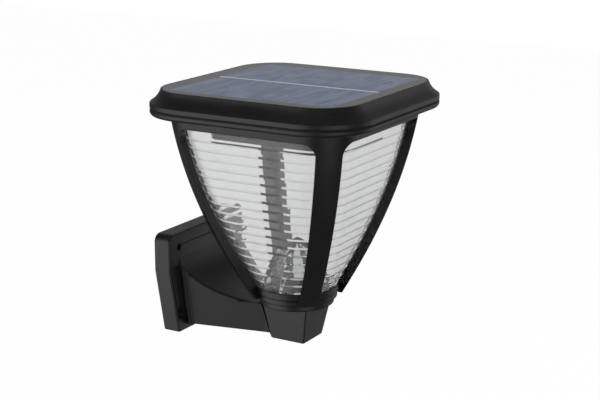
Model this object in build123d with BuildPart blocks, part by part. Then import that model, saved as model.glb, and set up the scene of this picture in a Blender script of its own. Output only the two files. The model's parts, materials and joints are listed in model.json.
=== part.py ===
from build123d import *
import os
from math import asin, pi, sin

# A solar wall lantern. The origin is the centre of the wall plate's back face: the wall is the plane Y = 0,
# the lantern hangs in front of it towards -Y, X runs along the wall and Z is up. Sizes are in millimetres.

os.makedirs("parts", exist_ok=True)

# Clearances
fit = 0.3
screw_fit = 0.1

# Where the lantern stands from the wall, and how high its top is above the plate's centre
axis_distance = 92.0
cap_top = 150.0

# Wall plate
plate_width = 96.6
plate_foot_width = 76.6
plate_height = 76.4
plate_shoulder = 10.8
plate_thickness = 13.5
plate_wall = 3.0
plate_corner = 6.0
plate_foot_corner = 2.0
plate_edge_round = 1.4
wall_hole = 5.0
wall_hole_spacing = 72.8
wall_hole_height = 27.4
wall_boss = 10.0
slot_margin = 2.6
slot_width = 7.8
slot_top = 14.0
slot_bottom = -28.0
slot_round = 1.6
slot_wall = 2.0
plate_rib = 2.4

# Bracket arm and its post
arm_root_top = 18.8
arm_root_step = 1.5
arm_flange = 3.5
arm_flare = 3.0
arm_bend_rise = 13.0
arm_bend_reach = 3.5
arm_bend_run = 24.5
arm_neck_rise = 3.4
arm_edge_round = 1.6
arm_lift = 3.5
arm_sink = 2.0
arm_screw_upper = (18.0, -6.0)
arm_screw_lower = (14.0, -24.0)
arm_screw_length = 16.0
post_height = 27.4
post_top_half = 18.6
post_foot_half = 13.7
post_web = 9.0
post_bore = 13.0

# Cap: flared roof rim over a gasket and a shallow tray, both reaching out over the cage
eave_overhang = 12.5
rim_corner = 38.8
slope_run = 8.0
slope_depth = 9.5
lip_width = 1.0
flare_sag = 1.2
rim_band = 4.0
rim_round = 1.2
lip_round = 0.4
roof_wall = 2.8
roof_floor = 2.2
gasket_height = 0.8
gasket_width = 2.0
gasket_recess = 0.7
tray_band = 3.95
tray_floor = 2.0
tray_round = 2.7
tray_lip_height = 3.0
tray_lip = 1.6
roof_boss = 6.0
roof_boss_root = 0.4
roof_screw_inset = 17.8
roof_screw_length = 9.0
screw_recess = 2.0
recess_roof = 1.6
tray_boss = 8.0

# Solar panel
panel_board_thickness = 1.2
cell_thickness = 0.3
panel_glass_thickness = 0.4
panel_border = 11.5
cell_columns = 10
cell_gap = 0.7
ribbon_width = 1.6
wire_hole = 8.0

# Cage: a band, four corner ribs and a round collar
cage_top_half = 72.5
cage_foot_half = 29.8
cage_top_corner = 29.8
cage_foot_corner = 21.2
cage_height = 136.75
cage_taper = 0.43
cage_section_count = 6
rib_top_width = 19.4
rib_foot_width = 15.6
band_height = 7.5
window_height = 120.9
window_round = 8.0
collar_height = 5.3
collar_radius = 30.5
collar_floor = 2.0
collar_hole = 10.0
cage_screw_inset = 11.0
cage_screw_length = 6.0

# Lens: clear stepped cup that hangs by its flange inside the cage
lens_setback = 5.0
lens_corner = 29.0
lens_steps = 18
lens_neck = 7.05
lens_ledge_share = 0.28
lens_ledge_run = 0.44
lens_wall = 1.8
lens_wall_sections = 8
lens_flange = 2.0
lens_flange_reach = 1.6
lens_gasket_height = 0.6
lens_gasket_reach = 1.2
lens_flat = 0.5

# Faceted cone that throws the light sideways, domed so that its facets get steeper downwards
cone_height = 36.0
cone_sides = 6
cone_tiers = 5
cone_fullness = 0.4
cone_wall = 2.0
cone_rim = 1.6
cone_tip = 1.0
cone_hollow = 30.0

# Base cup between collar and post
cup_upper_inset = 1.0
cup_upper_height = 4.2
cup_lower_inset = 2.3
cup_lower_height = 4.5
cup_wall = 2.4
cup_floor = 2.0
base_screw_place = 16.0
base_screw_length = 5.5
base_boss = 6.0

# Bolt and nut that hold the lantern on the post
bolt_diameter = 6.0
bolt_head = 10.0
bolt_head_height = 4.0
nut_width = 10.0
nut_height = 5.0
nut_boss = 16.0

# Small screws
screw_diameter = 2.6
screw_head = 5.0
screw_head_height = 1.8

# Lamp housing under the tray
housing_half = 46.0
housing_corner = 10.0
housing_depth = 17.9
housing_wall = 2.0
housing_floor = 3.4
housing_flange = 7.0
housing_flange_thickness = 1.8
housing_screw_place = 38.0
housing_screw_length = 3.4

# Light board
led_board_radius = 32.0
led_board_thickness = 1.6
led_count = 12
led_ring = 22.0
led_size = 3.5
led_height = 0.8
led_screw_ring = 12.0
led_screw_length = 3.0

# Battery in its holder
cell_diameter = 18.4
cell_length = 65.0
holder_length = 77.0
holder_width = 22.0
holder_floor = 1.5
holder_height = 15.0
holder_place = 14.0
contact_thickness = 0.8
contact_width = 10.0

# Charge and drive board
board_length = 62.0
board_width = 30.0
board_thickness = 1.6
board_rise = 7.0
board_place = -20.0
board_standoff = 6.0
board_screw_inset = 3.5
board_screw_length = 5.0
board_blocks = [((-16, 2), (9, 9, 5)), ((-2, 9), (6, 5, 1.6)), ((14, -4), (8, 6, 1.8)), ((18, 8), (5, 5, 3))]
lead_diameter = 1.6
lead_spacing = 4.0
led_lead_place = -26.0

# Push button under the eave on the wall side
button_inset = 1.0
button_length = 11.4
button_width = 4.4
button_proud = 2.2
button_flange = 1.2
button_flange_height = 1.0
button_travel = 1.2
plunger_diameter = 3.0
plunger_length = 4.6
plunger_reach = 1.2
button_round = 0.8
switch_height = 4.4
switch_leg = 2.4
switch_width = 6.0

# Widths worked out from the cage outwards and from the collar inwards
rim_half = cage_top_half + eave_overhang
lip_half = rim_half - slope_run
panel_half = lip_half - lip_width
cell_field_half = panel_half - panel_border
tray_lip_half = rim_half - roof_wall - fit
roof_screw_place = rim_half - roof_screw_inset
cage_screw_place = cage_top_half - cage_screw_inset
button_place = tray_lip_half - tray_lip - button_inset - switch_width / 2
cup_upper_radius = collar_radius - cup_upper_inset
cup_lower_radius = cup_upper_radius - cup_lower_inset

# Heights worked out from the stack of the cap
rim_bottom = cap_top - slope_depth - rim_band
tray_top = rim_bottom - gasket_height
eave = tray_top - tray_band
tray_floor_top = eave + tray_floor
roof_screw_seat = eave + screw_recess
tray_boss_top = roof_screw_seat + recess_roof
panel_seat = cap_top - panel_board_thickness - cell_thickness - panel_glass_thickness - screw_fit
roof_under = panel_seat - roof_floor
flange_top = eave - lens_gasket_height
flange_bottom = flange_top - lens_flange
window_top = eave - band_height
collar_top = window_top - window_height
collar_bottom = collar_top - collar_height
collar_seat = collar_bottom + collar_floor
lens_step_top = flange_bottom - lens_neck
lens_pitch = (lens_step_top - collar_top) / lens_steps
lens_foot = collar_seat + fit
rib_foot = eave - cage_height
cup_step = collar_bottom - cup_upper_height
cup_bottom = cup_step - cup_lower_height
post_foot = cup_bottom - post_height
arm_bottom = post_foot + arm_lift
housing_bottom = eave - housing_depth
housing_seat = housing_bottom + housing_floor
plate_face = -plate_thickness


def level(height):
    """Horizontal plane on the lantern's axis."""
    return Plane(origin=(0, -axis_distance, height))


def cap_corner(half):
    """Corner radius of a cap outline: all of them share their corner centres."""
    return rim_corner - (rim_half - half)


def cap_outline(half, mode=Mode.ADD):
    return RectangleRounded(2 * half, 2 * half, cap_corner(half), mode=mode)


def fall(height):
    """Share of the way from the eave (0) to the ribs' feet (1)."""
    return (eave - height) / cage_height


def cage_half(height):
    share = cage_taper * fall(height) + (1 - cage_taper) * fall(height) ** 2
    return cage_top_half - (cage_top_half - cage_foot_half) * share


def cage_corner(height):
    return cage_top_corner - (cage_top_corner - cage_foot_corner) * fall(height)


def window_half(height):
    """Half the window's width: what the ribs leave free of the rounded corners."""
    rib = rib_top_width - (rib_top_width - rib_foot_width) * fall(height)
    corner = cage_corner(height)
    turn = asin(rib / 2 / corner)
    return cage_half(height) - corner + corner * sin(pi / 4 - turn)


def lens_half(height):
    return cage_half(height) - lens_setback


def lens_outline(half, grow=0.0, mode=Mode.ADD):
    """Rounded square that turns into a circle where the lens gets narrow."""
    corner = min(lens_corner, half - lens_flat)
    return RectangleRounded(2 * (half + grow), 2 * (half + grow), corner + grow, mode=mode)


def lens_profile():
    """Heights and half widths down the lens: a neck, then steep steps that each end in a ledge."""
    profile = [(flange_bottom, lens_half(flange_bottom)), (lens_step_top, lens_half(lens_step_top))]
    for step in range(lens_steps):
        top = lens_step_top - step * lens_pitch
        foot = top - lens_pitch
        ledge_run = lens_ledge_run * (lens_half(top) - lens_half(foot))
        profile.append((foot + lens_ledge_share * lens_pitch, lens_half(foot) + ledge_run))
        profile.append((foot, lens_half(foot)))
    return profile


def lens_stack(grow, foot, mode=Mode.ADD):
    """The lens's outside as a solid, grown by a clearance and carried straight down to a foot."""
    profile = lens_profile()
    sections = []
    for height, half in profile + [(foot, profile[-1][1])]:
        with BuildSketch(level(height)) as section:
            lens_outline(half, grow)
        sections.append(section.sketch)
    return loft(sections, ruled=True, mode=mode)


def spread(top, bottom, count):
    """Evenly spaced heights from top to bottom."""
    return [top + (bottom - top) * index / (count - 1) for index in range(count)]


def plate_half(height):
    """Half the plate's width: straight above the shoulder, drawn in below it."""
    below = max(0.0, plate_shoulder - height) / (plate_shoulder + plate_height / 2)
    return (plate_width - (plate_width - plate_foot_width) * below) / 2


def post_half(height):
    return post_foot_half + (post_top_half - post_foot_half) * (height - post_foot) / post_height


def corners(place):
    """Four spots on the lantern's diagonals."""
    return [(x, y) for x in (-place, place) for y in (-place, place)]


def save(piece, name):
    piece.part.label = name
    export_step(piece.part, "parts/" + name + ".step")


def screws(plane, spots, length, diameter=screw_diameter, head=screw_head, head_height=screw_head_height):
    """Pan head screws whose heads stand on the plane and whose shanks go down from it."""
    with BuildPart(plane) as group:
        with Locations(*spots):
            Cylinder(head / 2, head_height, align=(Align.CENTER, Align.CENTER, Align.MIN))
            Cylinder(diameter / 2, length, align=(Align.CENTER, Align.CENTER, Align.MAX))
    return group


# Wall plate, hollow and ribbed at the back, with two wall holes and a strap slot on each side of the arm
def plate_outline(inset):
    heights = (plate_height / 2 - inset, plate_shoulder, -plate_height / 2 + inset)
    right = [(plate_half(height) - inset, height) for height in heights]
    left = [(-x, height) for x, height in reversed(right)]
    return Polygon(*right, *left, align=None)


def slot_outline(side, grow, mode=Mode.ADD):
    """Strap slot beside the arm's root, parallel to the plate's edge."""
    heights = (slot_top + grow, plate_shoulder, slot_bottom - grow)
    outer = [(side * (plate_half(height) - slot_margin + grow), height) for height in heights]
    inner = [(x - side * (slot_width + 2 * grow), height) for x, height in reversed(outer)]
    return Polygon(*outer, *inner, align=None, mode=mode)


wall_holes = [(-wall_hole_spacing / 2, wall_hole_height), (wall_hole_spacing / 2, wall_hole_height)]
arm_screw_spots = [(side * x, z) for x, z in (arm_screw_upper, arm_screw_lower) for side in (-1, 1)]

with BuildPart() as wall_plate:
    with BuildSketch(Plane.XZ) as plate_front:
        plate_outline(0)
        fillet(plate_front.vertices().group_by(Axis.Y)[-1], plate_corner)
        fillet(plate_front.vertices().group_by(Axis.Y)[0], plate_foot_corner)
    extrude(amount=plate_thickness)
    fillet(wall_plate.faces().sort_by(Axis.Y)[0].edges(), plate_edge_round)
    with BuildSketch(Plane.XZ) as back_hollow:
        plate_outline(plate_wall)
        fillet(back_hollow.vertices().group_by(Axis.Y)[-1], plate_corner - plate_wall)
        for side in (-1, 1):
            slot_outline(side, slot_wall, Mode.SUBTRACT)
        with Locations(*wall_holes):
            Circle(wall_boss / 2, mode=Mode.SUBTRACT)
        Rectangle(plate_rib, plate_height, mode=Mode.SUBTRACT)
        Rectangle(plate_width, plate_rib, mode=Mode.SUBTRACT)
    extrude(amount=plate_thickness - plate_wall, mode=Mode.SUBTRACT)
    for side in (-1, 1):
        with BuildSketch(Plane.XZ) as strap_slot:
            slot_outline(side, 0)
            fillet(strap_slot.vertices().group_by(Axis.Y)[-1], slot_round)
            fillet(strap_slot.vertices().group_by(Axis.Y)[0], slot_round)
        extrude(amount=plate_thickness, mode=Mode.SUBTRACT)
    with BuildSketch(Plane.XZ):
        with Locations(*wall_holes):
            Circle(wall_hole / 2)
        with Locations(*arm_screw_spots):
            Circle(screw_diameter / 2 + screw_fit)
    extrude(amount=plate_thickness, mode=Mode.SUBTRACT)
save(wall_plate, "wall_plate")


# Bracket arm: a swept-up root on a flange that narrows to a square, drawn-in post
flange_front = plate_face - arm_flange
flare_end = flange_front - arm_flare
post_back = -axis_distance + post_top_half
arm_neck_top = cup_bottom - fit
arm_neck_end = -axis_distance + cup_lower_radius + fit


def root_half(height):
    """Half the root flange's width, which ends at the strap slots."""
    return plate_half(height) - slot_margin - slot_width


def arm_half(height, place):
    """Half the arm's width at one distance from the wall: straight from the post to the plate."""
    share = (place - post_back) / (plate_face - post_back)
    return post_half(height) + (root_half(height) - arm_root_step - post_half(height)) * share


def arm_outline(height):
    right = [(post_foot_half - arm_sink, -axis_distance)]
    right += [(arm_half(height, place), place) for place in (post_back, plate_face)]
    left = [(-x, y) for x, y in reversed(right)]
    return Polygon(*right, *left, align=None)


def flange_outline(height):
    """Root flange with a hollow flare on each side that runs into the arm."""
    root = root_half(height)
    side = arm_half(height, flare_end) - fit
    slope = (arm_half(height, plate_face) - fit - side, plate_face - flare_end)
    with BuildLine() as outline:
        Polyline((-root, flange_front), (-root, plate_face), (root, plate_face), (root, flange_front))
        TangentArc((side, flare_end), (root, flange_front), tangent=slope)
        Line((side, flare_end), (-side, flare_end))
        TangentArc((-side, flare_end), (-root, flange_front), tangent=(-slope[0], slope[1]))
    return make_face(outline.edges())


def arm_profile():
    """Side view of the arm: level underneath, with a top that sweeps up to the plate."""
    with BuildLine() as outline:
        Polyline((arm_neck_end, arm_neck_top), (-axis_distance, arm_neck_top), (-axis_distance, arm_bottom),
                 (plate_face, arm_bottom), (plate_face, arm_root_top))
        Bezier(
            (plate_face, arm_root_top),
            (plate_face - arm_bend_reach, arm_neck_top + arm_bend_rise),
            (arm_neck_end + arm_bend_run, arm_neck_top + arm_neck_rise),
            (arm_neck_end, arm_neck_top),
        )
    return make_face(outline.edges())


with BuildPart() as root_flange:
    for height in (arm_bottom, arm_root_top):
        with BuildSketch(Plane.XY.offset(height)):
            flange_outline(height)
    loft(ruled=True)
    with BuildSketch(Plane.YZ):
        arm_profile()
    extrude(amount=plate_width, both=True, mode=Mode.INTERSECT)

with BuildPart() as bracket_arm:
    for height in (arm_bottom, arm_root_top):
        with BuildSketch(Plane.XY.offset(height)):
            arm_outline(height)
    loft(ruled=True)
    with BuildSketch(Plane.YZ):
        arm_profile()
    extrude(amount=plate_width, both=True, mode=Mode.INTERSECT)
    upper_edges = bracket_arm.edges().filter_by_position(Axis.Z, arm_neck_top + fit, arm_root_top - fit)
    ridges = upper_edges.filter_by_position(Axis.Y, arm_neck_end, flange_front)
    fillet(ridges.filter_by(lambda edge: abs(edge.center().X) > post_foot_half), arm_edge_round)
    add(root_flange.part)
    with BuildSketch(level(post_foot)):
        Rectangle(2 * post_foot_half, 2 * post_foot_half)
    with BuildSketch(level(cup_bottom)):
        Rectangle(2 * post_top_half, 2 * post_top_half)
    loft(ruled=True)
    with BuildSketch(level(post_foot)):
        Rectangle(post_bore, post_bore)
    extrude(amount=post_height - post_web, mode=Mode.SUBTRACT)
    with BuildSketch(level(post_foot)):
        Circle(bolt_diameter / 2 + screw_fit)
    extrude(amount=post_height, mode=Mode.SUBTRACT)
    with BuildSketch(Plane.XZ.offset(plate_thickness)):
        with Locations(*arm_screw_spots):
            Circle(screw_diameter / 2 + screw_fit)
    extrude(amount=arm_screw_length, mode=Mode.SUBTRACT)
save(bracket_arm, "bracket_arm")

arm_screw_seat = Plane(origin=(0, plate_wall - plate_thickness, 0), x_dir=(-1, 0, 0), z_dir=(0, 1, 0))
arm_screws = screws(arm_screw_seat, arm_screw_spots, arm_screw_length)
save(arm_screws, "arm_screws")


# Base cup: two stepped round bands, a nut pocket and bosses for the screws that hold it to the collar
base_screw_spots = [(-base_screw_place, 0), (base_screw_place, 0)]
base_screw_spots += [(y, x) for x, y in base_screw_spots]

with BuildPart() as base_cup:
    with BuildSketch(level(cup_bottom)):
        Circle(cup_lower_radius)
    extrude(amount=cup_lower_height)
    with BuildSketch(level(cup_step)):
        Circle(cup_upper_radius)
    extrude(amount=cup_upper_height)
    cup_seat = cup_bottom + cup_floor
    with BuildSketch(level(cup_seat)):
        Circle(cup_lower_radius - cup_wall)
        Circle(nut_boss / 2, mode=Mode.SUBTRACT)
        with Locations(*base_screw_spots):
            Circle(base_boss / 2, mode=Mode.SUBTRACT)
    extrude(amount=collar_bottom - cup_seat, mode=Mode.SUBTRACT)
    with BuildSketch(level(cup_seat)):
        RegularPolygon(nut_width / 2 + screw_fit, 6, major_radius=False)
    extrude(amount=collar_bottom - cup_seat, mode=Mode.SUBTRACT)
    with BuildSketch(level(cup_bottom)):
        Circle(bolt_diameter / 2 + screw_fit)
    extrude(amount=cup_floor, mode=Mode.SUBTRACT)
    with BuildSketch(level(collar_bottom)):
        with Locations(*base_screw_spots):
            Circle(screw_diameter / 2 + screw_fit)
    extrude(amount=-base_screw_length, mode=Mode.SUBTRACT)
save(base_cup, "base_cup")

with BuildPart() as post_nut:
    with BuildSketch(level(cup_seat)):
        RegularPolygon(nut_width / 2, 6, major_radius=False)
        Circle(bolt_diameter / 2 + screw_fit, mode=Mode.SUBTRACT)
    extrude(amount=nut_height)
save(post_nut, "post_nut")

bolt_seat = cup_bottom - post_web
bolt_length = post_web + cup_floor + nut_height
bolt_plane = Plane(origin=(0, -axis_distance, bolt_seat), x_dir=(1, 0, 0), z_dir=(0, 0, -1))
post_bolt = screws(bolt_plane, [(0, 0)], bolt_length, bolt_diameter, bolt_head, bolt_head_height)
save(post_bolt, "post_bolt")

base_screws = screws(level(collar_seat), base_screw_spots, collar_floor + base_screw_length)
save(base_screws, "base_screws")


# Cage: a curved, drawn-in shell whose windows leave a band and four ribs, standing on a round collar
collar_bore = lens_half(collar_top) + fit

with BuildPart() as cage:
    for height in spread(eave, rib_foot, cage_section_count):
        with BuildSketch(level(height)):
            RectangleRounded(2 * cage_half(height), 2 * cage_half(height), cage_corner(height))
    loft()
    lens_stack(fit, rib_foot - fit, Mode.SUBTRACT)
    with BuildSketch(level(flange_bottom)):
        lens_outline(lens_half(flange_bottom), lens_flange_reach + fit)
    extrude(amount=lens_flange + lens_gasket_height, mode=Mode.SUBTRACT)
    window_foot = rib_foot - fit
    window_middle = (window_top + window_foot) / 2
    for outward in ((0, -1, 0), (1, 0, 0)):
        window_plane = Plane(origin=(0, -axis_distance, 0), x_dir=(-outward[1], outward[0], 0), z_dir=outward)
        with BuildSketch(window_plane) as window:
            with BuildLine():
                Line((-window_half(window_top), window_top), (window_half(window_top), window_top))
                ThreePointArc(
                    (window_half(window_top), window_top),
                    (window_half(window_middle), window_middle),
                    (window_half(window_foot), window_foot),
                )
                Line((window_half(window_foot), window_foot), (-window_half(window_foot), window_foot))
                ThreePointArc(
                    (-window_half(window_foot), window_foot),
                    (-window_half(window_middle), window_middle),
                    (-window_half(window_top), window_top),
                )
            make_face()
            fillet(window.vertices().group_by(Axis.Y)[-1], window_round)
        extrude(amount=cage_top_half, both=True, mode=Mode.SUBTRACT)
    with BuildSketch(level(rib_foot - fit)):
        Circle(cup_upper_radius + fit)
    extrude(amount=collar_bottom - rib_foot + fit, mode=Mode.SUBTRACT)
    with BuildSketch(level(collar_bottom)):
        Circle(collar_radius)
    extrude(amount=collar_height)
    with BuildSketch(level(collar_seat)):
        Circle(collar_bore)
    extrude(amount=collar_height - collar_floor, mode=Mode.SUBTRACT)
    with BuildSketch(level(collar_bottom)):
        Circle(collar_hole)
        with Locations(*base_screw_spots):
            Circle(screw_diameter / 2 + screw_fit)
    extrude(amount=collar_floor, mode=Mode.SUBTRACT)
    with BuildSketch(level(eave)):
        with Locations(*corners(cage_screw_place)):
            Circle(screw_diameter / 2 + screw_fit)
    extrude(amount=-cage_screw_length, mode=Mode.SUBTRACT)
save(cage, "cage")


# Lens: stepped outside, smooth inside, hung by the flange round its top
with BuildPart() as lens:
    lens_stack(0, lens_foot)
    with BuildSketch(level(flange_bottom)):
        lens_outline(lens_half(flange_bottom), lens_flange_reach)
    extrude(amount=lens_flange)
    for height in spread(flange_top, lens_foot, lens_wall_sections):
        with BuildSketch(level(height)):
            lens_outline(lens_half(height), -lens_wall)
    loft(ruled=True, mode=Mode.SUBTRACT)
save(lens, "lens")

with BuildPart() as lens_gasket:
    with BuildSketch(level(flange_top)):
        lens_outline(lens_half(flange_bottom), lens_flange_reach)
        lens_outline(lens_half(flange_bottom), -lens_gasket_reach, Mode.SUBTRACT)
    extrude(amount=lens_gasket_height)
save(lens_gasket, "lens_gasket")


# Reflector cone: tiers of flat facets that swell out from the tip, hollow underneath
cone_radius = lens_half(lens_foot) - lens_wall - fit
cone_foot = collar_seat + cone_rim
tier_height = (cone_height - cone_rim) / cone_tiers


def tier_radius(tier):
    """Radius at the top of a tier, counted from the cone's foot."""
    return max(cone_tip, cone_radius * (1 - tier / cone_tiers) ** cone_fullness)


with BuildPart() as reflector_cone:
    with BuildSketch(level(collar_seat)):
        Circle(cone_radius)
    extrude(amount=cone_rim)
    for tier in range(cone_tiers):
        with BuildSketch(level(cone_foot + tier * tier_height)):
            RegularPolygon(tier_radius(tier), cone_sides)
        with BuildSketch(level(cone_foot + (tier + 1) * tier_height)):
            RegularPolygon(tier_radius(tier + 1), cone_sides)
        loft(ruled=True)
    with BuildSketch(level(collar_seat)):
        RegularPolygon(cone_radius - cone_wall, cone_sides)
    with BuildSketch(level(collar_seat + cone_hollow)):
        RegularPolygon(cone_tip, cone_sides)
    loft(ruled=True, mode=Mode.SUBTRACT)
save(reflector_cone, "reflector_cone")


# Cap tray: shallow floor with a rounded lower edge, an upstand and a hole for the lamp housing
button_spot = (0, button_place)
housing_screw_reach = housing_half + housing_flange / 2
housing_screw_spots = [(x, y) for x in (-housing_screw_place, housing_screw_place)
                       for y in (-housing_screw_reach, housing_screw_reach)]

with BuildPart() as cap_tray:
    with BuildSketch(level(eave)):
        cap_outline(rim_half)
    extrude(amount=tray_band)
    fillet(cap_tray.faces().sort_by(Axis.Z)[0].edges(), tray_round)
    with BuildSketch(level(tray_floor_top)):
        cap_outline(tray_lip_half)
    extrude(amount=tray_band - tray_floor, mode=Mode.SUBTRACT)
    with BuildSketch(level(tray_floor_top)):
        cap_outline(tray_lip_half)
        cap_outline(tray_lip_half - tray_lip, Mode.SUBTRACT)
    extrude(amount=tray_band - tray_floor + tray_lip_height)
    with BuildSketch(level(tray_floor_top)):
        with Locations(*corners(roof_screw_place)):
            Circle(tray_boss / 2)
    extrude(amount=tray_boss_top - tray_floor_top)
    with BuildSketch(level(eave)):
        with Locations(*corners(roof_screw_place)):
            Circle(screw_head / 2 + fit)
    extrude(amount=screw_recess, mode=Mode.SUBTRACT)
    with BuildSketch(level(roof_screw_seat)):
        with Locations(*corners(roof_screw_place)):
            Circle(screw_diameter / 2 + screw_fit)
    extrude(amount=recess_roof, mode=Mode.SUBTRACT)
    with BuildSketch(level(eave)):
        RectangleRounded(2 * (housing_half + fit), 2 * (housing_half + fit), housing_corner + fit)
        with Locations(*corners(cage_screw_place), *housing_screw_spots):
            Circle(screw_diameter / 2 + screw_fit)
        with Locations(button_spot):
            SlotOverall(button_length + 2 * fit, button_width + 2 * fit)
    extrude(amount=tray_floor, mode=Mode.SUBTRACT)
save(cap_tray, "cap_tray")

cage_screws = screws(level(tray_floor_top), corners(cage_screw_place), tray_floor + cage_screw_length)
save(cage_screws, "cage_screws")

with BuildPart() as cap_gasket:
    with BuildSketch(level(tray_top)):
        cap_outline(rim_half - gasket_recess)
        cap_outline(rim_half - gasket_recess - gasket_width, Mode.SUBTRACT)
    extrude(amount=gasket_height)
save(cap_gasket, "cap_gasket")


# Cap roof: a flared rim swept round the cap, over a flat floor that carries the panel
panel_flat = panel_half - cap_corner(panel_half)
slope_foot = cap_top - slope_depth

with BuildPart() as cap_roof:
    with BuildLine(level(roof_under)) as rim_path:
        Line((panel_half, 0), (panel_half, panel_flat))
        CenterArc((panel_flat, panel_flat), cap_corner(panel_half), 0, 90)
        Line((panel_flat, panel_half), (0, panel_half))
    with BuildSketch(Plane(origin=(0, -axis_distance, 0), x_dir=(1, 0, 0), z_dir=(0, -1, 0))) as rim_profile:
        with BuildLine():
            Polyline((panel_half, roof_under), (panel_half, cap_top), (lip_half, cap_top))
            SagittaArc((lip_half, cap_top), (rim_half, slope_foot), -flare_sag)
            Polyline((rim_half, slope_foot), (rim_half, rim_bottom), (rim_half - roof_wall, rim_bottom),
                     (rim_half - roof_wall, slope_foot), (panel_half, roof_under))
        make_face()
        fillet(rim_profile.vertices().group_by(Axis.X)[-1], rim_round)
        fillet(rim_profile.vertices().group_by(Axis.Y)[-1].sort_by(Axis.X)[-1], lip_round)
    sweep(path=rim_path.wire())
    mirror(about=Plane.YZ)
    mirror(about=Plane.XZ.offset(axis_distance))
    with BuildSketch(level(roof_under)):
        cap_outline(panel_half)
        with Locations((0, board_place)):
            Circle(wire_hole / 2, mode=Mode.SUBTRACT)
    extrude(amount=roof_floor)
    with BuildSketch(level(tray_boss_top)):
        with Locations(*corners(roof_screw_place)):
            Circle(roof_boss / 2)
    extrude(amount=roof_under - tray_boss_top + roof_boss_root)
    with BuildSketch(level(tray_boss_top)):
        with Locations(*corners(roof_screw_place)):
            Circle(screw_diameter / 2 + screw_fit)
    extrude(amount=roof_screw_length - recess_roof, mode=Mode.SUBTRACT)
save(cap_roof, "cap_roof")

recess_from_below = Plane(origin=(0, -axis_distance, roof_screw_seat), x_dir=(1, 0, 0), z_dir=(0, 0, -1))
roof_screws = screws(recess_from_below, corners(roof_screw_place), roof_screw_length)
save(roof_screws, "roof_screws")


# Solar panel: board, two rows of cut cells, the ribbon between them and the clear cover
board_half = panel_half - screw_fit
board_top = panel_seat + panel_board_thickness
cell_pitch = 2 * cell_field_half / cell_columns
cell_length_across = cell_field_half - ribbon_width / 2 - cell_gap

with BuildPart() as panel_board:
    with BuildSketch(level(panel_seat)):
        cap_outline(board_half)
    extrude(amount=panel_board_thickness)
save(panel_board, "panel_board")

with BuildPart() as solar_cells:
    with BuildSketch(level(board_top)):
        for side in (-1, 1):
            with Locations((side * (ribbon_width / 2 + cell_gap + cell_length_across / 2), 0)):
                with GridLocations(1, cell_pitch, 1, cell_columns):
                    Rectangle(cell_length_across, cell_pitch - cell_gap)
    extrude(amount=cell_thickness)
save(solar_cells, "solar_cells")

with BuildPart() as bus_ribbon:
    with BuildSketch(level(board_top)):
        Rectangle(ribbon_width, 2 * cell_field_half)
    extrude(amount=cell_thickness)
save(bus_ribbon, "bus_ribbon")

with BuildPart() as panel_glass:
    with BuildSketch(level(cap_top - panel_glass_thickness)):
        cap_outline(board_half)
    extrude(amount=panel_glass_thickness)
save(panel_glass, "panel_glass")


# Lamp housing: a tub that hangs through the tray by its flange and carries the light board underneath
housing_inner = housing_half - housing_wall
board_seat = housing_seat + board_rise
board_screw_spots = [(x, board_place + y)
                     for x in (board_screw_inset - board_length / 2, board_length / 2 - board_screw_inset)
                     for y in (board_screw_inset - board_width / 2, board_width / 2 - board_screw_inset)]
led_screw_spots = [(led_screw_ring, 0), (-led_screw_ring, 0)]
lead_spots = [(-lead_spacing / 2, 0), (lead_spacing / 2, 0)]

with BuildPart() as lamp_housing:
    with BuildSketch(level(housing_bottom)):
        RectangleRounded(2 * housing_half, 2 * housing_half, housing_corner)
    extrude(amount=tray_floor_top - housing_bottom)
    with BuildSketch(level(tray_floor_top)):
        RectangleRounded(2 * (housing_half + housing_flange), 2 * (housing_half + housing_flange),
                         housing_corner + housing_flange)
    extrude(amount=housing_flange_thickness)
    with BuildSketch(level(housing_seat)):
        RectangleRounded(2 * housing_inner, 2 * housing_inner, housing_corner - housing_wall)
        with Locations(*board_screw_spots):
            Circle(board_standoff / 2, mode=Mode.SUBTRACT)
    extrude(amount=tray_floor_top + housing_flange_thickness - housing_seat, mode=Mode.SUBTRACT)
    with BuildSketch(level(board_seat)):
        RectangleRounded(2 * housing_inner, 2 * housing_inner, housing_corner - housing_wall)
    extrude(amount=tray_floor_top + housing_flange_thickness - board_seat, mode=Mode.SUBTRACT)
    with BuildSketch(level(board_seat)):
        with Locations(*board_screw_spots):
            Circle(screw_diameter / 2 + screw_fit)
    extrude(amount=-board_screw_length, mode=Mode.SUBTRACT)
    with BuildSketch(level(housing_bottom)):
        Circle(led_board_radius + screw_fit)
    extrude(amount=led_board_thickness, mode=Mode.SUBTRACT)
    with BuildSketch(level(housing_bottom + led_board_thickness)):
        with Locations(*led_screw_spots):
            Circle(screw_diameter / 2 + screw_fit)
        with Locations((0, led_lead_place)):
            SlotOverall(lead_spacing + 2 * lead_diameter, 2 * lead_diameter)
    extrude(amount=housing_floor - led_board_thickness, mode=Mode.SUBTRACT)
    with BuildSketch(level(tray_floor_top)):
        with Locations(*housing_screw_spots):
            Circle(screw_diameter / 2 + screw_fit)
    extrude(amount=housing_flange_thickness, mode=Mode.SUBTRACT)
save(lamp_housing, "lamp_housing")

housing_screw_seat = level(tray_floor_top + housing_flange_thickness)
housing_screws = screws(housing_screw_seat, housing_screw_spots, housing_screw_length)
save(housing_screws, "housing_screws")


# Light board under the housing's floor, with a ring of diodes facing the cone
with BuildPart() as led_board:
    with BuildSketch(level(housing_bottom)):
        Circle(led_board_radius)
        with Locations(*led_screw_spots):
            Circle(screw_diameter / 2 + screw_fit, mode=Mode.SUBTRACT)
    extrude(amount=led_board_thickness)
save(led_board, "led_board")

with BuildPart() as leds:
    with BuildSketch(level(housing_bottom)):
        with PolarLocations(led_ring, led_count):
            Rectangle(led_size, led_size)
    extrude(amount=-led_height)
save(leds, "leds")

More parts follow.
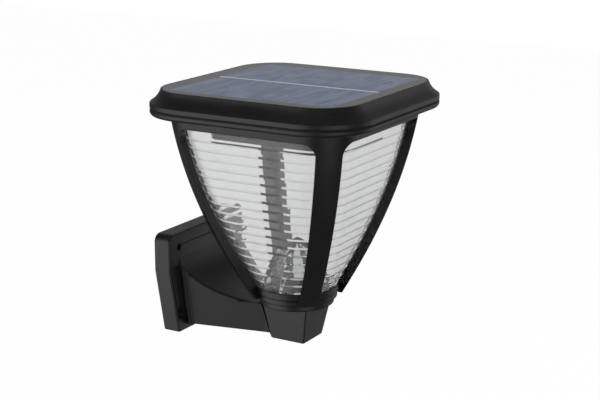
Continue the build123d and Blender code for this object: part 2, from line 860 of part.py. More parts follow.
lamp_from_below = Plane(origin=(0, -axis_distance, housing_bottom), x_dir=(1, 0, 0), z_dir=(0, 0, -1))
led_screws = screws(lamp_from_below, led_screw_spots, led_screw_length)
save(led_screws, "led_screws")


# Battery: one round cell between two contact plates in an open holder
holder_spot = (0, holder_place)
cell_middle = housing_seat + holder_floor + cell_diameter / 2 + screw_fit
contact_reach = cell_length / 2 + contact_thickness / 2

with BuildPart() as battery_holder:
    with BuildSketch(level(housing_seat)):
        with Locations(holder_spot):
            Rectangle(holder_length, holder_width)
    extrude(amount=holder_height)
    with BuildSketch(level(housing_seat + holder_floor)):
        with Locations(holder_spot):
            Rectangle(cell_length + 2 * contact_thickness + 2 * screw_fit, cell_diameter + 2 * fit)
    extrude(amount=holder_height, mode=Mode.SUBTRACT)
save(battery_holder, "battery_holder")

with BuildPart() as battery_cell:
    cell_end = Plane(origin=(-cell_length / 2, holder_place - axis_distance, cell_middle), z_dir=(1, 0, 0))
    with BuildSketch(cell_end):
        Circle(cell_diameter / 2)
    extrude(amount=cell_length)
save(battery_cell, "battery_cell")

with BuildPart() as battery_contacts:
    with BuildSketch(level(housing_seat + holder_floor)):
        with Locations((-contact_reach, holder_place), (contact_reach, holder_place)):
            Rectangle(contact_thickness, contact_width)
    extrude(amount=holder_height - holder_floor)
save(battery_contacts, "battery_contacts")


# Charge and drive board on its standoffs, with the parts soldered to it and the leads to panel and lights
board_top_face = board_seat + board_thickness

with BuildPart() as main_board:
    with BuildSketch(level(board_seat)):
        with Locations((0, board_place)):
            Rectangle(board_length, board_width)
        with Locations(*board_screw_spots):
            Circle(screw_diameter / 2 + screw_fit, mode=Mode.SUBTRACT)
    extrude(amount=board_thickness)
save(main_board, "main_board")

board_screws = screws(level(board_top_face), board_screw_spots, board_thickness + board_screw_length)
save(board_screws, "board_screws")

with BuildPart() as board_parts:
    for (x, y), (length, width, height) in board_blocks:
        with BuildSketch(level(board_top_face)):
            with Locations((x, board_place + y)):
                Rectangle(length, width)
        extrude(amount=height)
save(board_parts, "board_parts")

with BuildPart() as panel_leads:
    with BuildSketch(level(board_top_face)):
        with Locations((0, board_place)):
            with Locations(*lead_spots):
                Circle(lead_diameter / 2)
    extrude(amount=panel_seat - board_top_face)
save(panel_leads, "panel_leads")

with BuildPart() as led_leads:
    with BuildSketch(level(housing_bottom + led_board_thickness)):
        with Locations((0, led_lead_place)):
            with Locations(*lead_spots):
                Circle(lead_diameter / 2)
    extrude(amount=board_seat - housing_bottom - led_board_thickness)
save(led_leads, "led_leads")


# Push button in the tray's floor: its flange stops it from below, its plunger works the switch above
flange_seat = tray_floor_top + fit
plunger_foot = flange_seat + button_flange_height
switch_foot = plunger_foot + plunger_length - plunger_reach
switch_span = button_length + 2 * (button_flange + fit + button_travel)

with BuildPart() as power_button:
    with BuildSketch(level(eave - button_proud)):
        with Locations(button_spot):
            SlotOverall(button_length, button_width)
    extrude(amount=flange_seat - eave + button_proud)
    fillet(power_button.faces().sort_by(Axis.Z)[0].edges(), button_round)
    with BuildSketch(level(flange_seat)):
        with Locations(button_spot):
            SlotOverall(button_length + 2 * button_flange, button_width + 2 * button_flange)
    extrude(amount=button_flange_height)
save(power_button, "power_button")

with BuildPart() as switch_plunger:
    with BuildSketch(level(plunger_foot)):
        with Locations(button_spot):
            Circle(plunger_diameter / 2)
    extrude(amount=plunger_length)
save(switch_plunger, "switch_plunger")

with BuildPart() as power_switch:
    with BuildSketch(level(tray_floor_top)):
        with Locations(button_spot):
            Rectangle(switch_span + 2 * switch_leg, switch_width)
    extrude(amount=switch_foot + switch_height - tray_floor_top)
    with BuildSketch(level(tray_floor_top)):
        with Locations(button_spot):
            Rectangle(switch_span, switch_width)
    extrude(amount=switch_foot - tray_floor_top, mode=Mode.SUBTRACT)
    with BuildSketch(level(switch_foot)):
        with Locations(button_spot):
            Circle(plunger_diameter / 2 + fit)
    extrude(amount=plunger_reach + button_travel + fit, mode=Mode.SUBTRACT)
save(power_switch, "power_switch")
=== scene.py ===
# %% [markdown]
# # A solar wall lantern, dressed for its photograph
# The solids of the lantern come from its CAD model and are loaded as a fixed frame. This lesson sets up the
# camera and the studio, softens the moulded edges, adds the small forms that light brings out, and gives
# every piece its finish. Everything is in metres: the wall is the plane Y = 0, the lantern hangs towards
# -Y, and Z is up.

import json
from math import radians

import bpy
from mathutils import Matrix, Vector

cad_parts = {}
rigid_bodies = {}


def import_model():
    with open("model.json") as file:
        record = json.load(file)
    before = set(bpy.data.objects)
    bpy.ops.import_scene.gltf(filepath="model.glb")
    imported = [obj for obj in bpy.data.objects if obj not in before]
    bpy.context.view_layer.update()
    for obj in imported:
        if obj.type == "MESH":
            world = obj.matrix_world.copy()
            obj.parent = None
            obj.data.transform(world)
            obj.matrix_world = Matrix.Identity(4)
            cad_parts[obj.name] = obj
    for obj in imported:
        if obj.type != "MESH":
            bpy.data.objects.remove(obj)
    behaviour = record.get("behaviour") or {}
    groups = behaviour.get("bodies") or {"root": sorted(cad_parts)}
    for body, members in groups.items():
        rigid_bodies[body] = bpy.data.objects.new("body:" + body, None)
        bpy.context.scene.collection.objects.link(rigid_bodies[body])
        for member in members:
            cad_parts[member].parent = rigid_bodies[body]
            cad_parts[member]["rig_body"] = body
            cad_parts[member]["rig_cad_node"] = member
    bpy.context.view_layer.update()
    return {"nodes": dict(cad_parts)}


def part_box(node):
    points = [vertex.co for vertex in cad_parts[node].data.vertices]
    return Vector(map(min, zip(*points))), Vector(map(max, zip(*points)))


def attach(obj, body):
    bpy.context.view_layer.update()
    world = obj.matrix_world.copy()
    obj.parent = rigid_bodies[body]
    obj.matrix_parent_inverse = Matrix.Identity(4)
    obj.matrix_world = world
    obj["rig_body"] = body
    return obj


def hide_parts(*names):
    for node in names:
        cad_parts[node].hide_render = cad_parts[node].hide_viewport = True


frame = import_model()
nodes = frame["nodes"]

# %% [markdown]
# ## Camera
# The photograph looks slightly down on the lantern's front corner from about a metre away. A camera can be
# turned by three angles, but a direction is easier to think about: a track quaternion turns the camera's -Z
# axis along it and keeps its Y axis upwards. The long lens keeps the upright edges nearly parallel.

# %% Camera
camera_place = Vector((-0.8315, -0.5861, 0.3165))
camera_aim = Vector((0.8332, 0.4925, -0.2514)).normalized()
camera_lens_mm = 83.5
camera_sensor_mm = 36.0


def look_along(thing, direction):
    """Turns a camera or a lamp so that it looks along a direction."""
    thing.rotation_mode = "QUATERNION"
    thing.rotation_quaternion = direction.to_track_quat("-Z", "Y")


camera_data = bpy.data.cameras.new("photo_camera")
camera_data.lens = camera_lens_mm
camera_data.sensor_width = camera_sensor_mm
camera = bpy.data.objects.new("photo_camera", camera_data)
camera.location = camera_place
look_along(camera, camera_aim)
bpy.context.scene.collection.objects.link(camera)
bpy.context.scene.camera = camera
print("camera at", [round(x, 3) for x in camera_place])

# %% [markdown]
# ## Studio
# Black satin plastic shows its surroundings more than its own colour, so the surroundings are designed
# first. Glowing panels could be placed round the lantern, but they would light it as well as show in it. A
# world shader can tell rays apart instead. What the camera sees is a white backdrop, somewhat darker
# through clear plastic, which gives the lens its grey. What a glossy surface reflects is a dim room with a
# few soft panels in it, each a smooth lobe round one direction.

# %% Node helpers
def feed(tree, socket, value):
    """Sets a socket to a number or a colour, or links an output socket to it."""
    if isinstance(value, bpy.types.NodeSocket):
        tree.links.new(value, socket)
    else:
        socket.default_value = value


def add_node(tree, kind, **sockets):
    """Adds a node and feeds its input sockets by name."""
    node = tree.nodes.new(kind)
    for name, value in sockets.items():
        feed(tree, node.inputs[name.replace("_", " ")], value)
    return node


def math_node(tree, operation, *values):
    """Adds a Math node and feeds its inputs in their order."""
    node = tree.nodes.new("ShaderNodeMath")
    node.operation = operation
    for socket, value in zip(node.inputs, values):
        feed(tree, socket, value)
    return node.outputs[0]


def blend(tree, share, first, second, kind="FLOAT"):
    """Adds a Mix node that goes from the first value to the second by a share."""
    node = tree.nodes.new("ShaderNodeMix")
    node.data_type = kind
    for name, value in (("Factor", share), ("A", first), ("B", second)):
        feed(tree, node.inputs[name], value)
    return node.outputs["Result"]


def blend_shaders(tree, share, first, second):
    """Adds a Mix Shader node that goes from the first shader to the second by a share."""
    node = add_node(tree, "ShaderNodeMixShader", Fac=share)
    tree.links.new(first.outputs[0], node.inputs[1])
    tree.links.new(second.outputs[0], node.inputs[2])
    return node.outputs[0]


# %% Backdrop helper
white = (1.0, 1.0, 1.0, 1.0)
lens_shade = 0.25
less_than_one_surface = 0.5


def backdrop(tree):
    """Which rays see the backdrop, directly or through clear plastic, and how bright it is to them."""
    rays = tree.nodes.new("ShaderNodeLightPath").outputs
    through_lens = math_node(tree, "GREATER_THAN", rays["Transmission Depth"], less_than_one_surface)
    seen = math_node(tree, "MAXIMUM", rays["Is Camera Ray"], through_lens)
    brightness = math_node(tree, "SUBTRACT", 1.0, math_node(tree, "MULTIPLY", through_lens, lens_shade))
    return seen, brightness


# %% World
room_level = 0.10
ambient_level = 0.55
# Each panel is a direction, the cosine of the angle to its rim, and the light in its middle.
soft_panels = [
    (Vector((-0.79, 0.59, -0.18)), 0.63, 1.45),
    (Vector((0.83, -0.49, -0.06)), 0.76, 0.50),
    (Vector((0.83, 0.49, 0.25)), 0.70, 0.24),
    (Vector((-0.47, -0.80, -0.20)), 0.82, 0.90),
]

world = bpy.data.worlds.new("studio")
world.use_nodes = True
bpy.context.scene.world = world
tree = world.node_tree
tree.nodes.clear()
direction = tree.nodes.new("ShaderNodeTexCoord").outputs["Generated"]
room = room_level
for aim, rim, strength in soft_panels:
    toward = tree.nodes.new("ShaderNodeVectorMath")
    toward.operation = "DOT_PRODUCT"
    tree.links.new(direction, toward.inputs[0])
    toward.inputs[1].default_value = aim.normalized()
    lobe = add_node(tree, "ShaderNodeMapRange", Value=toward.outputs["Value"], From_Min=rim, From_Max=1.0,
                    To_Min=0.0, To_Max=strength)
    lobe.interpolation_type = "SMOOTHSTEP"
    room = math_node(tree, "ADD", room, lobe.outputs[0])

glossy_ray = tree.nodes.new("ShaderNodeLightPath").outputs["Is Glossy Ray"]
surroundings = blend(tree, glossy_ray, ambient_level, room)
seen, brightness = backdrop(tree)
background = add_node(tree, "ShaderNodeBackground", Color=white,
                      Strength=blend(tree, seen, surroundings, brightness))
tree.links.new(background.outputs[0], tree.nodes.new("ShaderNodeOutputWorld").inputs["Surface"])
bpy.context.scene.view_settings.view_transform = "Standard"
print("world with", len(soft_panels), "soft panels")

# %% [markdown]
# ## Lamps and floor
# Two broad area lamps give the diffuse light and a soft shadow. They are kept out of reflections, because
# the world already holds the panels that the plastic mirrors. The floor lies well below the lantern, as
# under a wall light, and is white to the camera while a share of it still takes light and shadow.

# %% Lamps
lens_low, lens_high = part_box("lens")
lantern_axis = (lens_low + lens_high) / 2.0
lantern_axis.z = 0.0
lamp_target = lantern_axis + Vector((0.0, 0.0, 0.06))
lamp_size = 1.6


def area_lamp(name, place, power):
    """Adds a broad lamp that shines on the lantern and is itself never seen."""
    lamp_data = bpy.data.lights.new(name, "AREA")
    lamp_data.size = lamp_size
    lamp_data.energy = power
    lamp = bpy.data.objects.new(name, lamp_data)
    lamp.location = place
    look_along(lamp, lamp_target - Vector(place))
    lamp.visible_glossy = False
    lamp.visible_camera = False
    lamp.visible_transmission = False
    bpy.context.scene.collection.objects.link(lamp)
    print(name, "of", power, "W at", place)


area_lamp("key_lamp", place=(-1.2, -0.6, 1.6), power=26.0)
area_lamp("fill_lamp", place=(1.4, -1.2, 0.9), power=14.0)

# %% Floor
floor_height = -0.42
floor_size = 8.0
floor_colour = (0.9, 0.9, 0.9, 1.0)
floor_white_share = 0.97

bpy.ops.object.select_all(action="DESELECT")
bpy.ops.mesh.primitive_plane_add(size=floor_size, location=(0.0, 0.0, floor_height))
floor = bpy.context.object
floor.name = "studio_floor"
floor.visible_glossy = False

floor_paint = bpy.data.materials.new("floor_paint")
floor_paint.use_nodes = True
tree = floor_paint.node_tree
tree.nodes.clear()
seen, brightness = backdrop(tree)
matt = add_node(tree, "ShaderNodeBsdfDiffuse", Color=floor_colour)
glow = add_node(tree, "ShaderNodeEmission", Color=white, Strength=brightness)
paint = blend_shaders(tree, math_node(tree, "MULTIPLY", seen, floor_white_share), matt, glow)
tree.links.new(paint, tree.nodes.new("ShaderNodeOutputMaterial").inputs["Surface"])
floor.data.materials.append(floor_paint)
print("floor at", floor_height, "m")

# %% [markdown]
# ## Softened mouldings
# Moulded plastic has no knife edges: each rim carries a small round that catches a thin line of light. The
# edges could be rounded in the CAD model, but small rounds are lighter and easier to judge here. The CAD
# meshes are loose triangles, so a copy is merged, the triangles of its flats are joined, and a Bevel
# modifier rounds the edges that turn sharply. The copy then stands in for the CAD node.

# %% Copying and merging
merge_gap = 2e-6
flat_angle = radians(0.5)


def copy_node(source, name):
    """Copies a CAD node as a free piece with its own name."""
    bpy.ops.object.select_all(action="DESELECT")
    source.select_set(True)
    bpy.context.view_layer.objects.active = source
    bpy.ops.object.duplicate()
    piece = bpy.context.object
    piece.name = name
    del piece["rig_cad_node"]
    bpy.ops.object.parent_clear(type="CLEAR_KEEP_TRANSFORM")
    bpy.ops.mesh.customdata_custom_splitnormals_clear()
    return piece


def merge_triangles(join_flats):
    """Merges the loose triangles of the active piece and, where asked, joins those of each flat."""
    bpy.ops.object.mode_set(mode="EDIT")
    bpy.ops.mesh.select_all(action="SELECT")
    bpy.ops.mesh.remove_doubles(threshold=merge_gap)
    if join_flats:
        bpy.ops.mesh.dissolve_limited(angle_limit=flat_angle)
    bpy.ops.object.mode_set(mode="OBJECT")


# %% Rounding and shading
round_segments = 2


def round_edges(piece, radius, sharp):
    """Rounds the edges that turn by more than the sharp angle."""
    bevel = piece.modifiers.new("edge_round", "BEVEL")
    bevel.width = radius
    bevel.segments = round_segments
    bevel.limit_method = "ANGLE"
    bevel.angle_limit = sharp
    bevel.use_clamp_overlap = False
    bpy.ops.object.modifier_apply(modifier=bevel.name)


def shade_faces(piece, sharp, crisp):
    """Smooths the shading up to the sharp angle; flat faces and crisp edges keep their look."""
    bpy.ops.object.shade_smooth_by_angle(angle=sharp)
    if crisp:
        crisp(piece)
    weighted = piece.modifiers.new("flat_faces_stay_flat", "WEIGHTED_NORMAL")
    weighted.keep_sharp = True
    bpy.ops.object.modifier_apply(modifier=weighted.name)


# %% Softening
sharp_degrees = 35.0


def soften(node, name, edge, sharp=sharp_degrees, shape=None, join_flats=True, crisp=None):
    """Copies a CAD node, merges it, shapes it and rounds its edges; the copy replaces the node."""
    source = nodes[node]
    piece = copy_node(source, name)
    merge_triangles(join_flats)
    if shape:
        shape(piece)
    if edge:
        round_edges(piece, edge, radians(sharp))
    shade_faces(piece, radians(sharp), crisp)
    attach(piece, source["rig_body"])
    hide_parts(node)
    piece.data.materials.clear()
    print(name, "has", len(piece.data.polygons), "faces")
    return piece


# %% Selecting by place
def select_where(piece, kind, wanted):
    """Opens a piece in edit mode and selects the vertices, edges or faces that pass a test."""
    bpy.ops.object.mode_set(mode="EDIT")
    bpy.ops.mesh.select_mode(type=kind)
    bpy.ops.mesh.select_all(action="DESELECT")
    bpy.ops.object.mode_set(mode="OBJECT")
    parts = {"VERT": piece.data.vertices, "EDGE": piece.data.edges, "FACE": piece.data.polygons}[kind]
    chosen = [part.index for part in parts if wanted(part)]
    for index in chosen:
        parts[index].select = True
    bpy.ops.object.mode_set(mode="EDIT")
    return len(chosen)


# %% [markdown]
# ## Black mouldings and their beads
# Below the cage, its collar and the two bands of the cup read as three round beads, one above the other. A
# Bevel modifier has one width for a whole piece, so the lower edges of the beads are picked by height and
# radius and get their wider round in edit mode first. All other edges then get the small round of their
# piece. On the plate and the cage, joining the flats would leave a stray face, so these two keep their
# triangles.

# %% Collar beads
collar_overhang = 0.0010
upper_band_height = 0.0042
lower_band_step = 0.0023
bead_round = 0.0013
bead_segments = 4
bead_height_gap = 2e-5
bead_radius_gap = 5e-5

cup_low, cup_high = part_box("base_cup")
upper_band_radius = cup_high.x
bead_edges = [
    (cup_high.z, upper_band_radius + collar_overhang),
    (cup_high.z - upper_band_height, upper_band_radius),
    (cup_low.z, upper_band_radius - lower_band_step),
]


def round_beads(piece):
    """Rounds the lower edges of the collar and of the cup's two bands, so that they read as beads."""
    def on_bead(edge):
        ends = [piece.data.vertices[index].co - lantern_axis for index in edge.vertices]
        return any(all(abs(end.z - height) < bead_height_gap and abs(end.xy.length - radius) < bead_radius_gap
                       for end in ends) for height, radius in bead_edges)

    chosen = select_where(piece, "EDGE", on_bead)
    bpy.ops.mesh.bevel(offset=bead_round, segments=bead_segments, affect="EDGES")
    bpy.ops.object.mode_set(mode="OBJECT")
    print(piece.name, "has", chosen, "bead edges")


# %% Black mouldings
moulding_rounds = {
    "wall_plate": 0.0004,
    "bracket_arm": 0.0013,
    "base_cup": 0.0004,
    "cage": 0.0005,
    "cap_tray": 0.0003,
    "cap_roof": 0.0003,
}
beaded_mouldings = ("base_cup", "cage")
unjoined_mouldings = ("wall_plate", "cage")
black_pieces = [
    soften(node, node + "_soft", edge,
           shape=round_beads if node in beaded_mouldings else None,
           join_flats=node not in unjoined_mouldings)
    for node, edge in moulding_rounds.items()
]

# %% [markdown]
# ## Stepped lens
# The lens is a clear cup whose wall steps in as it goes down, and the steps break up what shows through it.
# Plain steps have flats that act as wedges and smear the view. So each step becomes a shallow groove:
# Bisect cuts a lip just below every ledge, the lip's ring grows a little, and the ledge's foot is drawn in.
# The flats then run along the wall, and only the ledges bend the light. Resizing rings keeps the rounded
# square outline of the CAD model.

# %% Lens steps
lens_steps = 18
plain_rim = 0.00905
plain_foot = 0.0030
first_ledge = lens_high.z - plain_rim
step_height = (first_ledge - lens_low.z - plain_foot) / lens_steps
lip_drop = 0.00005
ledge_draw = 0.00015
lip_growth_top = 0.00012
lip_growth_foot = 0.00035
ring_gap = 1e-5
level_gap = 1e-6
cut_gap = 1e-7


def resize_ring(piece, height, growth):
    """Makes the level ring at a height wider or narrower about the lantern's axis."""
    def on_ring(vertex):
        return abs(vertex.co.z - height) < ring_gap

    select_where(piece, "VERT", on_ring)
    half_width = max(vertex.co.x for vertex in piece.data.vertices if on_ring(vertex))
    share = 1.0 + growth / half_width
    bpy.ops.transform.resize(value=(share, share, 1.0), center_override=lantern_axis)


def on_outer_wall(face):
    """Tells whether a face of the lens looks away from the lantern's axis, below the plain rim."""
    outward = face.center - lantern_axis
    outward.z = 0.0
    return face.normal.dot(outward) > 0.0 and face.center.z < first_ledge


def groove_steps(piece):
    """Cuts a lip below every ledge of the lens, so that each step is a shallow groove in an even wall."""
    for step in range(1, lens_steps):
        ledge = first_ledge - step * step_height
        lip = ledge - lip_drop
        lip_growth = lip_growth_top + step / lens_steps * (lip_growth_foot - lip_growth_top)
        select_where(piece, "FACE", on_outer_wall)
        bpy.ops.mesh.bisect(plane_co=(0.0, 0.0, lip), plane_no=(0.0, 0.0, 1.0), threshold=cut_gap)
        resize_ring(piece, lip, lip_growth)
        resize_ring(piece, ledge, -ledge_draw)
    bpy.ops.object.mode_set(mode="OBJECT")


def keep_level_edges(piece):
    """Keeps the level edges of the steps crisp while the upright edges stay smooth."""
    for edge in piece.data.edges:
        start, end = (piece.data.vertices[index].co for index in edge.vertices)
        if abs(start.z - end.z) < level_gap:
            edge.use_edge_sharp = True


# %% Lens and cone
no_round = 0.0
cone_round = 0.0003
cone_sharp_degrees = 12.0
soften("lens", "lens_soft", no_round, shape=groove_steps, crisp=keep_level_edges)
soften("reflector_cone", "reflector_cone_soft", cone_round, sharp=cone_sharp_degrees)
print("lens steps of", round(1000 * step_height, 2), "mm")

# %% [markdown]
# ## Screw drives
# The screws are pan heads with a cross recess, and the post bolt has a hexagon socket. A recess is quickest
# as a Boolean: plain cutters are placed on every head, joined and taken away. The heads are found by the
# faces that lie furthest out along the screws' axis, so no list of places is needed.

# %% Finding and cutting the heads
head_gap = 1e-5
facing_cosine = 0.99


def head_centres(piece, axis, side):
    """The middles of the head faces, which lie furthest along the axis."""
    level = max(side * vertex.co[axis] for vertex in piece.data.vertices)
    return [face.center.copy() for face in piece.data.polygons
            if side * face.normal[axis] > facing_cosine and abs(side * face.center[axis] - level) < head_gap]


def take_away(piece, cutters):
    """Joins the cutters and takes them away from the piece."""
    bpy.ops.object.select_all(action="DESELECT")
    for cutter in cutters:
        cutter.select_set(True)
    bpy.context.view_layer.objects.active = cutters[0]
    bpy.ops.object.join()
    cutter = bpy.context.object
    bpy.ops.object.select_all(action="DESELECT")
    piece.select_set(True)
    bpy.context.view_layer.objects.active = piece
    cut = piece.modifiers.new("drive", "BOOLEAN")
    cut.object = cutter
    cut.solver = "EXACT"
    cut.use_self = True
    bpy.ops.object.modifier_apply(modifier=cut.name)
    bpy.data.objects.remove(cutter)


# %% Recess and socket
recess_length = 0.0029
recess_width = 0.0007
recess_depth = 0.0009
socket_radius = 0.0030
socket_depth = 0.0022
socket_sides = 6
y_axis, z_axis = 1, 2
forwards, backwards = 1, -1


def cross_recess(axis, side):
    """A shaping step that cuts a cross into every screw head."""
    def shape(piece):
        cutters = []
        for centre in head_centres(piece, axis, side):
            for across in (other for other in range(3) if other != axis):
                size = [recess_width] * 3
                size[axis] = 2.0 * recess_depth
                size[across] = recess_length
                bpy.ops.mesh.primitive_cube_add(size=1.0, location=centre, scale=size)
                cutters.append(bpy.context.object)
        take_away(piece, cutters)
        print(piece.name, "has", len(cutters) // 2, "cross recesses")
    return shape


def hexagon_socket(piece):
    """A shaping step that cuts a hexagon socket into the bolt's head."""
    centre = head_centres(piece, z_axis, backwards)[0]
    bpy.ops.mesh.primitive_cylinder_add(vertices=socket_sides, radius=socket_radius, depth=2.0 * socket_depth,
                                        location=centre)
    take_away(piece, [bpy.context.object])


# %% Screws and bolt
screw_round = 0.0002
bolt_round = 0.0003
# The axis of each group of screws, and the side on which their heads are.
screw_heads = {
    "arm_screws": (y_axis, forwards),
    "base_screws": (z_axis, forwards),
    "cage_screws": (z_axis, forwards),
    "housing_screws": (z_axis, forwards),
    "board_screws": (z_axis, forwards),
    "roof_screws": (z_axis, backwards),
    "led_screws": (z_axis, backwards),
}
screw_pieces = [
    soften(screws, screws + "_cut", screw_round, shape=cross_recess(axis, side))
    for screws, (axis, side) in screw_heads.items()
]
screw_pieces.append(soften("post_bolt", "post_bolt_cut", bolt_round, shape=hexagon_socket))

# %% [markdown]
# ## Light diodes
# A diode is a white frame round a sunken pool of yellow phosphor. Two insets of its lower face model both:
# the first leaves the frame standing, and the second steps down into the pool. Insets are simpler here than
# a Boolean, because every diode is a plain block.

# %% Diodes
diode_frame_width = 0.0005
pool_slope = 0.00015
pool_depth = 0.00015
diode_round = 0.00006


def looks_down(face):
    """Tells whether a face looks straight down."""
    return face.normal.z < -facing_cosine


def phosphor_inset(piece):
    """A shaping step that sinks the phosphor of every diode into its white frame."""
    chosen = select_where(piece, "FACE", looks_down)
    bpy.ops.mesh.inset(thickness=diode_frame_width, use_individual=True)
    bpy.ops.mesh.inset(thickness=pool_slope, depth=-pool_depth, use_individual=True)
    bpy.ops.object.mode_set(mode="OBJECT")
    print(piece.name, "has", chosen, "pools of phosphor")


diode_piece = soften("leds", "leds_inset", diode_round, shape=phosphor_inset)

# %% [markdown]
# ## Satin black plastic
# The body is moulded in black plastic with a fine spark-eroded grain. Its colour hardly varies; what the
# eye reads is the broken gloss. An image of the grain would need a UV map on every piece, so noise on
# Object coordinates is used. It goes mostly into roughness and bump, and only a little into colour.

# %% Material and noise
no_stretch = (1.0, 1.0, 1.0)


def new_material(name):
    """A node material; returns it with its tree, main shader and Object coordinates."""
    material = bpy.data.materials.new(name)
    material.use_nodes = True
    tree = material.node_tree
    shader = tree.nodes["Principled BSDF"]
    place = tree.nodes.new("ShaderNodeTexCoord").outputs["Object"]
    return material, tree, shader, place


def noise(tree, place, scale, detail=2.0, stretch=no_stretch):
    """A noise texture on Object coordinates; scale is in waves per metre."""
    mapping = add_node(tree, "ShaderNodeMapping", Vector=place, Scale=stretch)
    texture = add_node(tree, "ShaderNodeTexNoise", Vector=mapping.outputs[0], Scale=scale, Detail=detail)
    return texture.outputs[0]


# %% Ranges
noise_low = 0.3
noise_high = 0.7


def colour_between(tree, share, dark, light):
    """Blends two colours by a noise, which lies mostly between its low and high values."""
    ramp = tree.nodes.new("ShaderNodeValToRGB")
    stops = ramp.color_ramp.elements
    for stop, position, colour in zip(stops, (noise_low, noise_high), (dark, light)):
        stop.position = position
        stop.color = (*colour, 1.0)
    tree.links.new(share, ramp.inputs[0])
    return ramp.outputs["Color"]


def number_between(tree, share, low, high):
    """Maps a noise to a range of numbers."""
    span = add_node(tree, "ShaderNodeMapRange", Value=share, From_Min=noise_low, From_Max=noise_high,
                    To_Min=low, To_Max=high)
    return span.outputs[0]


def vary(tree, shader, share, colours, roughness):
    """Lets one noise vary both the colour and the roughness of a shader."""
    tree.links.new(colour_between(tree, share, *colours), shader.inputs["Base Color"])
    tree.links.new(number_between(tree, share, *roughness), shader.inputs["Roughness"])


# %% Bump and dressing
def bump(tree, shader, height, depth, strength):
    """Adds a bump of the given depth in metres; bumps added later sit on top of earlier ones."""
    node = add_node(tree, "ShaderNodeBump", Height=height, Strength=strength, Distance=depth)
    if shader.inputs["Normal"].links:
        tree.links.new(shader.inputs["Normal"].links[0].from_socket, node.inputs["Normal"])
    tree.links.new(node.outputs[0], shader.inputs["Normal"])


def dress(material, *names):
    """Puts the material on CAD nodes or pieces."""
    for name in names:
        piece = bpy.data.objects[name]
        piece.data.materials.clear()
        piece.data.materials.append(material)
    print(material.name, "is on", ", ".join(names))


# %% Satin black plastic
black_plastic, tree, shader, place = new_material("satin_black_plastic")
cloud = noise(tree, place, scale=45.0, detail=3.0)
grain = noise(tree, place, scale=2600.0)
vary(tree, shader, cloud, colours=((0.004, 0.004, 0.0042), (0.006, 0.006, 0.0063)), roughness=(0.34, 0.42))
shader.inputs["IOR"].default_value = 1.5
bump(tree, shader, cloud, depth=0.00012, strength=0.3)
bump(tree, shader, grain, depth=0.00002, strength=0.35)
dress(black_plastic, *(piece.name for piece in black_pieces), "lamp_housing")

# %% [markdown]
# ## Clear lens and cone
# The lens and the faceted cone inside it are moulded in clear plastic, each with a very slight tint. A
# Principled shader with nearly full transmission bends the light at every step and facet, which a plain
# transparent shader would not do. A faint flow ripple keeps the walls from looking like optical glass.

# %% One noise finish
def one_noise_finish(name, colours, roughness, scale, detail=2.0, stretch=no_stretch, bumps=None,
                     **constants):
    """A finish whose colour, roughness and bump follow one noise; constants go on the shader's sockets."""
    material, tree, shader, place = new_material(name)
    texture = noise(tree, place, scale, detail, stretch)
    vary(tree, shader, texture, colours, roughness)
    if bumps:
        bump(tree, shader, texture, **bumps)
    for socket, value in constants.items():
        shader.inputs[socket.replace("_", " ")].default_value = value
    return material


# %% Clear plastic
clear_ior = 1.49
lens_plastic = one_noise_finish(
    "clear_lens_plastic", colours=((0.955, 0.96, 0.96), (0.97, 0.975, 0.975)), roughness=(0.015, 0.035),
    scale=55.0, stretch=(1.0, 1.0, 2.5), bumps={"depth": 0.0003, "strength": 0.25},
    Transmission_Weight=0.96, IOR=clear_ior)
dress(lens_plastic, "lens_soft")

cone_plastic = one_noise_finish(
    "clear_cone_plastic", colours=((0.93, 0.935, 0.935), (0.96, 0.965, 0.965)), roughness=(0.02, 0.05),
    scale=180.0, bumps={"depth": 0.0001, "strength": 0.2}, Transmission_Weight=0.97, IOR=clear_ior)
dress(cone_plastic, "reflector_cone_soft")

# %% [markdown]
# ## Solar panel
# Two rows of cut cells lie on a dark laminate under a clear cover. The cover is so thin that it only adds
# its reflection, so it is a mix of clear and glossy by Fresnel, which lets the cells show without
# refraction. The cells are blue silicon: stretched Voronoi flakes give its crystals, and a wave gives the
# thin silver fingers.

# %% Panel cover
cover_tint = (0.97, 0.98, 1.0, 1.0)
cover_ior = 1.48

panel_cover, tree, shader, place = new_material("panel_cover")
tree.nodes.remove(shader)
smear = noise(tree, place, scale=70.0, detail=3.0)
mirror = add_node(tree, "ShaderNodeBsdfGlossy", Color=white,
                  Roughness=number_between(tree, smear, low=0.05, high=0.1))
clear = add_node(tree, "ShaderNodeBsdfTransparent", Color=cover_tint)
fresnel = add_node(tree, "ShaderNodeFresnel", IOR=cover_ior)
from_behind = tree.nodes.new("ShaderNodeNewGeometry").outputs["Backfacing"]
front_only = math_node(tree, "MULTIPLY", fresnel.outputs[0], math_node(tree, "SUBTRACT", 1.0, from_behind))
cover = blend_shaders(tree, front_only, clear, mirror)
tree.links.new(cover, tree.nodes["Material Output"].inputs["Surface"])
dress(panel_cover, "panel_glass")

# %% Cells
flake_share = 0.5
cloud_share = 0.5
crystal_offset = 0.5
finger_sharpness = 6.0
finger_strength = 0.35
finger_silver = (0.13, 0.15, 0.19, 1.0)

